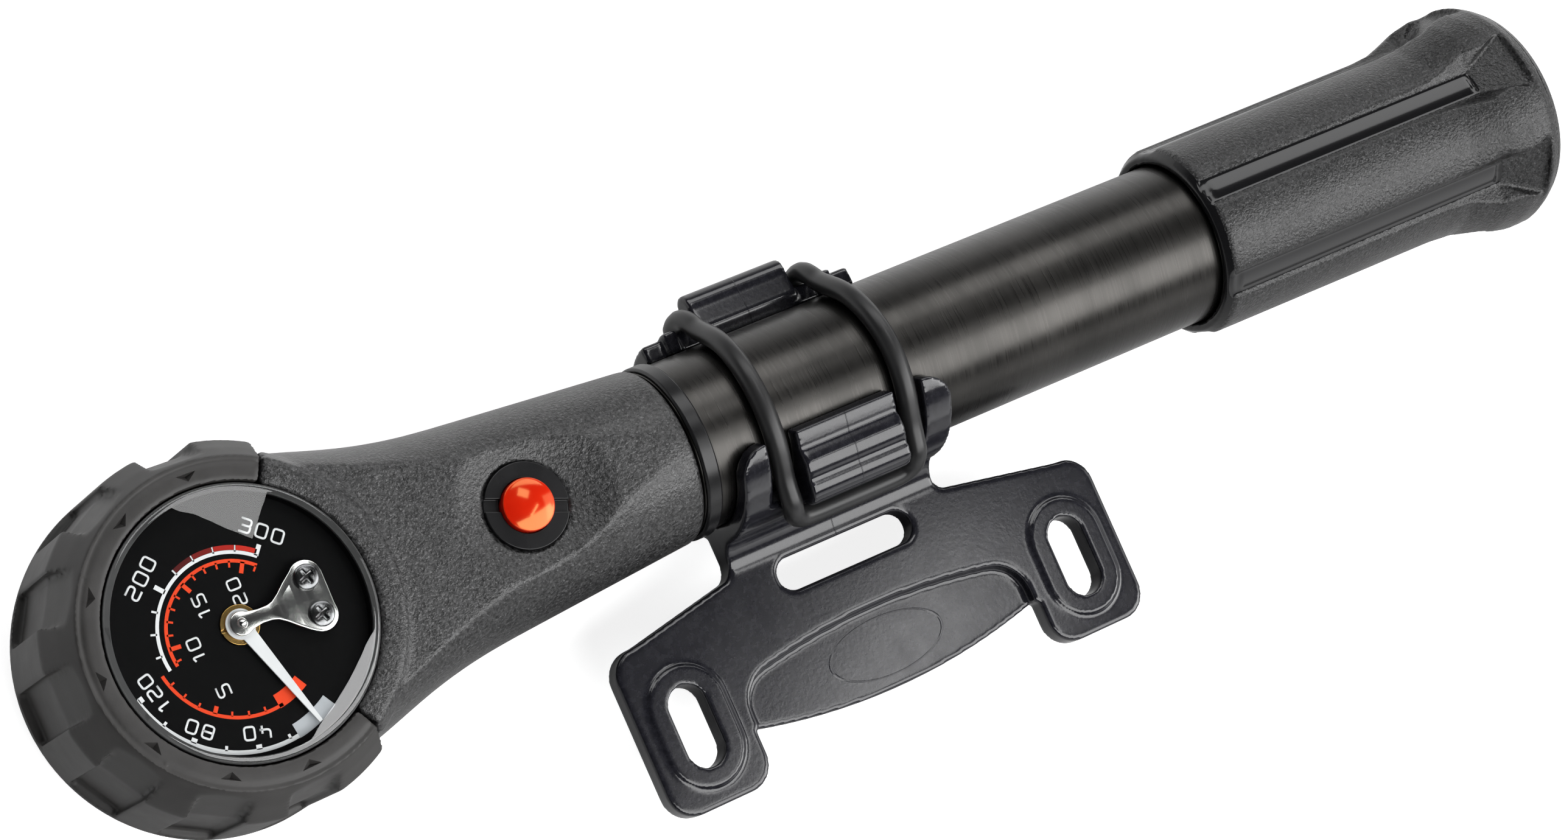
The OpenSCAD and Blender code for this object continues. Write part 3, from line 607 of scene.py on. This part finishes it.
def rounded_stroke(points, radius, steps=4):
    """The points of a stroke with its corners turned into arcs"""
    closed = points[0] == points[-1]
    pts = [Vector((*p, 0)) for p in (points[:-1] if closed else points)]
    done = []
    for i, p in enumerate(pts):
        if not closed and i in (0, len(pts) - 1):
            done.append(p)
            continue
        a, b = pts[i - 1], pts[(i + 1) % len(pts)]
        r = min(radius, (a - p).length * 0.5, (b - p).length * 0.5)
        p0, p1 = p + (a - p).normalized() * r, p + (b - p).normalized() * r
        for k in range(steps + 1):
            t = k / steps
            done.append(p0.lerp(p, t).lerp(p.lerp(p1, t), t))
    return done, closed


def swept(curve):
    """The merged mesh of a curve's round cord"""
    cord = bpy.data.objects.new(curve.name + "_curve", curve)
    bpy.context.collection.objects.link(cord)
    bpy.context.view_layer.update()
    mesh = bpy.data.meshes.new_from_object(cord.evaluated_get(bpy.context.evaluated_depsgraph_get()))
    bpy.data.objects.remove(cord)
    bm = bmesh.new()
    bm.from_mesh(mesh)
    bpy.data.meshes.remove(mesh)
    bmesh.ops.remove_doubles(bm, verts=bm.verts, dist=1e-7)
    return bm


def number(name, text, x, y, facing, high, stroke, pitch):
    """Prints a number round a point of the dial, with its top towards facing"""
    curve = bpy.data.curves.new(name, "CURVE")
    curve.dimensions = "3D"
    curve.bevel_depth = stroke / 2000
    curve.bevel_resolution = 1
    curve.use_fill_caps = True
    rise = outward(facing)
    along = Vector((rise.y, -rise.x, 0))
    body_h = high - stroke
    wider = 1.12
    corner = 0.22
    flatness = 0.1
    width = w * wider * body_h
    for i, digit in enumerate(text):
        shift = (i - (len(text) - 1) / 2) * pitch - width / 2
        for points in numerals[digit]:
            path, closed = rounded_stroke(points, corner)
            spline = curve.splines.new("POLY")
            spline.points.add(len(path) - 1)
            spline.use_cyclic_u = closed
            for k, p in enumerate(path):
                q = (Vector((x, y, 0)) + along * (shift + p.x * wider * body_h)
                     + rise * ((p.y - 0.5) * body_h))
                spline.points[k].co = (q.x / 1000, q.y / 1000, 0, 1)
    bm = swept(curve)
    bmesh.ops.transform(bm, matrix=Matrix.Translation((0, 0, (dial_top + ink_t * 0.6) / 1000))
                        @ Matrix.Diagonal((1, 1, flatness, 1)), verts=bm.verts)
    bmesh.ops.recalc_face_normals(bm, faces=bm.faces)
    finished(name, bm, white_ink, "pump_body", [])


# name, digits, place on the dial, direction of the top, height, stroke, pitch
for row in (("forty", "40", 17.6, -13.4, -106, 1.95, 0.3, 2.15),
            ("eighty", "80", 10.9, -10.2, -131, 1.95, 0.3, 2.15),
            ("hundred_twenty", "120", 7.4, -3.9, -166, 1.95, 0.3, 1.9),
            ("two_hundred", "200", 11.6, 10.1, 131, 2.05, 0.3, 2.12),
            ("three_hundred", "300", 28.6, 10.0, 50, 2.05, 0.3, 2.2),
            ("five", "5", 15.7, -6.9, 180, 2.0, 0.28, 2.0),
            ("ten", "10", 14.5, -0.9, 180, 1.9, 0.27, 1.75),
            ("fifteen", "15", 17.4, 3.95, 180, 1.9, 0.27, 1.75),
            ("twenty", "20", 22.4, 4.0, 180, 1.9, 0.27, 2.1)):
    number(*row)

# ---- needle and its bearing -----------------------------------------------
# White painted needle on a steel arbor; a polished bridge, held by two black
# screws, bears the arbor's upper end over a brass bush.
needle_paint = moulded("needle_paint", (0.66, 0.67, 0.69), (0.72, 0.73, 0.75), 0.35,
                       0.0001, 0.000002)
softened("pointer", "needle", needle_paint, 0.05, body="needle_body")
faced_brass = turned_metal("faced_brass", (0.50, 0.30, 0.09), (0.58, 0.37, 0.12), 0.22,
                           drawn=(60, 60, 1))
softened("bush", "dial_bush", faced_brass, 0.08)
polished_steel = turned_metal("polished_steel", (0.62, 0.62, 0.61), (0.68, 0.68, 0.67), 0.16,
                              depth=0.0000002)


def arc(x, y, radius, start, stop, step):
    """Points of an arc, in millimetres"""
    return [(x + radius * math.cos(math.radians(a)), y + radius * math.sin(math.radians(a)))
            for a in range(start, stop, step)]


bm = bmesh.new()
foot_x, near_foot_y, far_foot_y = 10.1, -2.75, 2.35
outline = arc(0, 0, 1.6, 50, 311, 13)
outline += [(2.6, -1.0), (3.9, -1.1), (4.7, -1.35), (5.6, -2.0), (6.8, -3.1), (8.0, -4.1)]
outline += arc(foot_x, near_foot_y, 2.3, -125, 16, 14)
outline += arc(foot_x, far_foot_y, 2.3, 0, 141, 14)
outline += [(6.9, 2.8), (5.7, 1.8), (4.7, 1.15), (3.9, 0.95), (2.6, 0.95)]
blank = bm.faces.new([bm.verts.new(Vector((dial_x + x, y, 11.0)) / 1000) for x, y in outline])
blank.normal_update()
raised = bmesh.ops.extrude_face_region(bm, geom=[blank])["geom"]
top = [g for g in raised if isinstance(g, bmesh.types.BMVert)]
bmesh.ops.translate(bm, verts=top, vec=(0, 0, 0.0004))
rim = [e for e in bm.edges if all(v in top for v in e.verts)]
bmesh.ops.bevel(bm, geom=rim, offset=0.00017, offset_type="OFFSET", segments=3, profile=0.5,
                affect="EDGES", material=-1)
# pressed crease at the fork, the two feet and the bearing's ball
crease = [bm.verts.new(Vector((dial_x + x, y, z)) / 1000) for x, y, z in
          ((3.9, -0.3, 11.39), (7.7, 2.3, 11.39), (7.5, -3.3, 11.39), (6.3, -0.5, 11.72))]
bmesh.ops.convex_hull(bm, input=crease)
for y in (far_foot_y, near_foot_y):
    bmesh.ops.create_cone(bm, cap_ends=True, segments=32, radius1=0.0016, radius2=0.0016, depth=0.001,
                          matrix=Matrix.Translation(((dial_x + foot_x) / 1000, y / 1000, 0.0105)))
bmesh.ops.create_icosphere(bm, subdivisions=3, radius=0.00075,
                           matrix=Matrix.Translation((dial_x / 1000, 0, 0.0112)))
bmesh.ops.recalc_face_normals(bm, faces=bm.faces)
bridge = finished("bridge", bm, polished_steel, "pump_body", ["pivot_bridge"])
bridge.data.set_sharp_from_angle(angle=math.radians(30))
black_steel = turned_metal("black_steel", (0.12, 0.12, 0.125), (0.16, 0.16, 0.165), 0.22)
screw_profile = [(10.0, 0), (10.0, 0.75), (11.4, 0.75), (11.4, 1.55), (11.5, 1.7), (11.72, 1.7),
                 (11.9, 1.45), (11.93, 0)]
for name, y in (("screw_far", far_foot_y), ("screw_near", near_foot_y)):
    centre = ((dial_x + foot_x) / 1000, y / 1000, 0)
    screw = finished(name, turned(screw_profile, centre=centre, axis=(0, 0, 1), steps=48),
                     black_steel, "pump_body", ["bridge_screws"])
    for turn in (20, 110):
        slot = bmesh.new()
        bmesh.ops.create_cube(slot, size=1, matrix=Matrix.Translation((centre[0], centre[1], 0.0118))
                              @ Matrix.Rotation(math.radians(turn), 4, "Z")
                              @ Matrix.Diagonal((0.0021, 0.00055, 0.0007, 1)))
        bmesh.ops.bevel(slot, geom=slot.edges[:], offset=0.00012, offset_type="OFFSET", segments=2,
                        profile=0.5, affect="EDGES", material=-1)
        carved(screw, slot)
    screw.data.set_sharp_from_angle(angle=math.radians(35))
    eased(screw, 0.05, 2, 35)


# ---- glass ----------------------------------------------------------------
# Clear moulded lens, flat below and slightly domed above, glued on its ring.
def clear_glass(name):
    """Glass that lets light through to what lies under it"""
    mat, tree, shader, _ = material(name)
    tree.nodes.remove(shader)
    gloss = tree.nodes.new("ShaderNodeBsdfGlossy")
    gloss.inputs["Color"].default_value = (1, 1, 1, 1)
    gloss.inputs["Roughness"].default_value = 0.01
    clear = tree.nodes.new("ShaderNodeBsdfTransparent")
    clear.inputs["Color"].default_value = (0.98, 0.985, 0.98, 1)
    share = tree.nodes.new("ShaderNodeFresnel")
    share.inputs["IOR"].default_value = 1.49
    # only the outer face of the glass mirrors
    side = tree.nodes.new("ShaderNodeNewGeometry")
    front = calc(tree, "SUBTRACT", 1.0, side.outputs["Backfacing"])
    mix = tree.nodes.new("ShaderNodeMixShader")
    tree.links.new(calc(tree, "MULTIPLY", share.outputs[0], front), mix.inputs["Fac"])
    tree.links.new(clear.outputs[0], mix.inputs[1])
    tree.links.new(gloss.outputs[0], mix.inputs[2])
    tree.links.new(mix.outputs[0], tree.nodes["Material Output"].inputs["Surface"])
    return mat


crown_z = 13.6
crown_radius = 150
dome = [(crown_z - r * r / (2 * crown_radius), r) for r in (0, 3, 6, 9, 12, 15, 16, 17, 17.4)]
rounding = [(12.53, 17.6), (12.43, 17.8), (12.3, 17.92), (12.05, 18)]
lens = finished("glass", turned(dome + rounding + [(12.0, 17.9), (12.0, 0)], **dial_axis),
                clear_glass("lens_glass"), "pump_body", ["lens"])
eased(lens, 0.2, 2, 40)

# ---- bleed button ---------------------------------------------------------
# Glossy orange cap in a black ring, set in a shallow dish of the casing.
# Pressing it lets air out of the hose.
softened("ring", "button_ring", gloss_black, 0.2)
bright_orange = moulded("bright_orange", (0.45, 0.009, 0.002), (0.52, 0.014, 0.003), 0.12,
                        0.001, 0.000001, shine=0.9)
shader = bright_orange.node_tree.nodes["Principled BSDF"]
shader.inputs["Specular Tint"].default_value = (1.0, 0.62, 0.22, 1)
button_x = 62.7
cap_z = 13.1
cap_radius = 9
cap_top = [(cap_z - cap_radius + math.sqrt(cap_radius ** 2 - r * r), r)
           for r in (0, 0.7, 1.4, 2.1, 2.7, 3.15, 3.4)]
cap_foot = [(12.4, 3.6), (9.6, 3.6), (9.6, 4.15), (8.9, 4.15), (8.9, 1), (2.4, 1), (2.4, 0)]
button = finished("button",
                  turned(cap_top + cap_foot, centre=(button_x / 1000, 0, 0), axis=(0, 0, 1)),
                  bright_orange, "bleed_body", ["bleed_button"])
eased(button, 0.18, 3, 25)

# ---- bracket --------------------------------------------------------------
# Glossy black moulding: a clip that snaps round the barrel, and a plate with
# two slots for the bottle-cage screws.
bracket_gloss = moulded("bracket_gloss", (0.007, 0.007, 0.0095), (0.0125, 0.0125, 0.016), 0.15,
                        0.0003, 0.000005, mottle=0.002, tint_by=0.0004, shine=0.42)
tree = bracket_gloss.node_tree
shader = tree.nodes["Principled BSDF"]


def line_at(tree, value, centre, half, softness):
    """One where value is within half of centre, and nought away from it"""
    away = calc(tree, "ABSOLUTE", calc(tree, "SUBTRACT", value, centre))
    return ramp(tree, away, half, half + softness, 1.0, 0.0)


clip_x = 109.5
# parting line over the clip, and a faint oval gate mark in the thin web
place, parts = along_axes(tree)
seam = line_at(tree, parts["X"], clip_x / 1000, 0.00003, 0.00006)
upper = ramp(tree, parts["Y"], -0.0195, -0.0190, 0.0, 1.0)
oval = tree.nodes.new("ShaderNodeMapping")
oval.vector_type = "TEXTURE"
oval.inputs["Location"].default_value = (0.1106, -0.0362, -0.0056)
oval.inputs["Scale"].default_value = (0.0093, 0.0041, 0.5)
tree.links.new(place, oval.inputs["Vector"])
reach = tree.nodes.new("ShaderNodeVectorMath")
reach.operation = "LENGTH"
tree.links.new(oval.outputs[0], reach.inputs[0])
ring = line_at(tree, reach.outputs["Value"], 1.0, 0.010, 0.015)
bumps(tree, shader, calc(tree, "MULTIPLY_ADD", seam, upper, ring), 0.00005,
      under=shader.inputs["Normal"].links[0].from_socket)
holder = solid("holder", "bracket", bracket_gloss)
melted(holder, 0.32, 3)

# ---- band -----------------------------------------------------------------
# Loop of round rubber cord, hooked over the clip's two lugs.
# half of the loop: across from the clip's middle, degrees round the barrel, radius
band_half = [(0, -24.5, 16.4), (6, -24.5, 16.4), (9.1, -23, 16.4), (9.9, -16, 16.4), (10, -6, 16.4),
             (10, 0, 16.05), (10, 6, 15.2), (10, 12, 14.1), (10, 20, 13.65), (10.2, 35, 13.6),
             (10.4, 50, 13.6), (10.6, 70, 13.6), (10.7, 90, 13.6), (10.6, 110, 13.6), (10.5, 126, 13.7),
             (10.5, 134, 14.1), (10.4, 141, 15), (10.3, 146, 15.95), (10.1, 151, 16.35),
             (9.8, 155, 16.4), (8.6, 159.5, 16.4), (6, 161, 16.35), (0, 161, 16.35)]
curve = bpy.data.curves.new("band", "CURVE")
curve.dimensions = "3D"
curve.bevel_depth = 0.00148
curve.bevel_resolution = 5
spline = curve.splines.new("NURBS")
loop = band_half + [(-x, a, r) for x, a, r in band_half[-2:0:-1]]
spline.points.add(len(loop) - 1)
for point, (x, a, r) in zip(spline.points, loop):
    turn = math.radians(a)
    point.co = ((clip_x + x) / 1000, r * math.cos(turn) / 1000, r * math.sin(turn) / 1000, 1)
spline.use_cyclic_u = True
spline.order_u = 3
spline.resolution_u = 6
bm = swept(curve)
bmesh.ops.recalc_face_normals(bm, faces=bm.faces)
band_rubber = moulded("band_rubber", (0.010, 0.010, 0.0105), (0.015, 0.015, 0.0155), 0.36,
                      0.0001, 0.000004, shine=0.3)
finished("rubber_loop", bm, band_rubber, "pump_body", ["band"])

# ---- handle ---------------------------------------------------------------
# Grained nylon grip with six glossy channels, flared at its end and closed
# by a smooth plug.
# the grip's colour also carries painted glints, bright specks standing in for light caught by the grain
grip_nylon = moulded("grip_nylon", (0.0005, 0.0005, 0.0006), (0.025, 0.025, 0.0255), 0.34,
                     0.00019, 0.00013, painted_glints=1.0, tint_by=0.00023, shine=0.29)
tree = grip_nylon.node_tree
shader = tree.nodes["Principled BSDF"]
# the floor of the channels, nearest the axis, has no grain
bare_to, grained_from = 0.01400, 0.01408
place = tree.nodes.new("ShaderNodeTexCoord")
cross = tree.nodes.new("ShaderNodeVectorMath")
cross.operation = "MULTIPLY"
cross.inputs[1].default_value = (0, 1, 1)
tree.links.new(place.outputs["Object"], cross.inputs[0])
away = tree.nodes.new("ShaderNodeVectorMath")
away.operation = "LENGTH"
tree.links.new(cross.outputs[0], away.inputs[0])
channel = ramp(tree, away.outputs["Value"], bare_to, grained_from, 1.0, 0.0)
bump = shader.inputs["Normal"].links[0].from_node
# a Mix node's sockets A, B and Result come in one set for each kind of value
for socket, kind, (a, b, result), smooth_value in (
        (shader.inputs["Base Color"], "RGBA", (6, 7, 2), (0.006, 0.006, 0.0065, 1)),
        (shader.inputs["Roughness"], "FLOAT", (2, 3, 0), 0.10),
        (bump.inputs["Height"], "FLOAT", (2, 3, 0), 0.5)):
    blend = tree.nodes.new("ShaderNodeMix")
    blend.data_type = kind
    tree.links.new(channel, blend.inputs[0])
    tree.links.new(socket.links[0].from_socket, blend.inputs[a])
    blend.inputs[b].default_value = smooth_value
    tree.links.new(blend.outputs[result], socket)
grip = solid("grip", "handle_grip", grip_nylon, body="handle_body")
# a sleeve under the channels makes their floor round
from_x, to_x, under_r, channel_r = 178.2, 226.9, 12.8, 13.94
sleeve = [(from_x, under_r), (from_x, channel_r), (to_x, channel_r), (to_x, under_r)]
carved(grip, turned(sleeve), "UNION")
melted(grip, 0.36, 1)
softened("end_plug", "handle_cap", grip_nylon, 0.3, body="handle_body")
